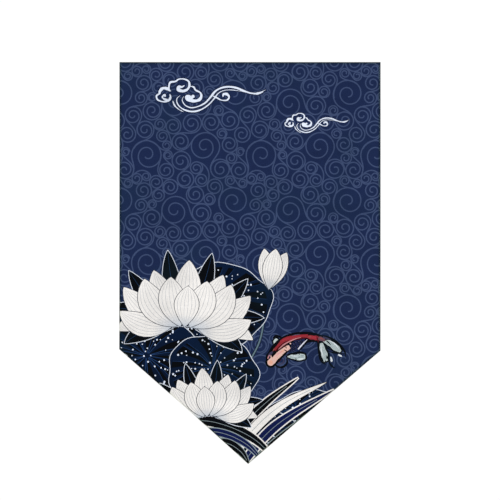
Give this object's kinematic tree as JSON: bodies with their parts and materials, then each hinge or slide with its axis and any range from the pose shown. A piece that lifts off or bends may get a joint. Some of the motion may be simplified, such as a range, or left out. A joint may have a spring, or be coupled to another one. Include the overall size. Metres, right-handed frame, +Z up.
{
  "type": "noren curtain",
  "caption": "Small printed noren curtain: a flat cloth panel with a straight top edge, turned edges and a pointed lower end.",
  "frame": {"origin": "middle of the top edge, on the front face of the cloth, which hangs below it", "axes": "+Z up, +X to the right seen from the front, and the printed front looks towards -Y"},
  "size_m": [0.28, 0.0085, 0.4301],
  "materials": {
    "printed_cloth": "matt printed polyester and linen cloth, plain weave, navy ground with a multicoloured print on the front"
  },
  "bodies": {
    "root": {"cloth_panel": "printed_cloth"}
  },
  "joints": []
}
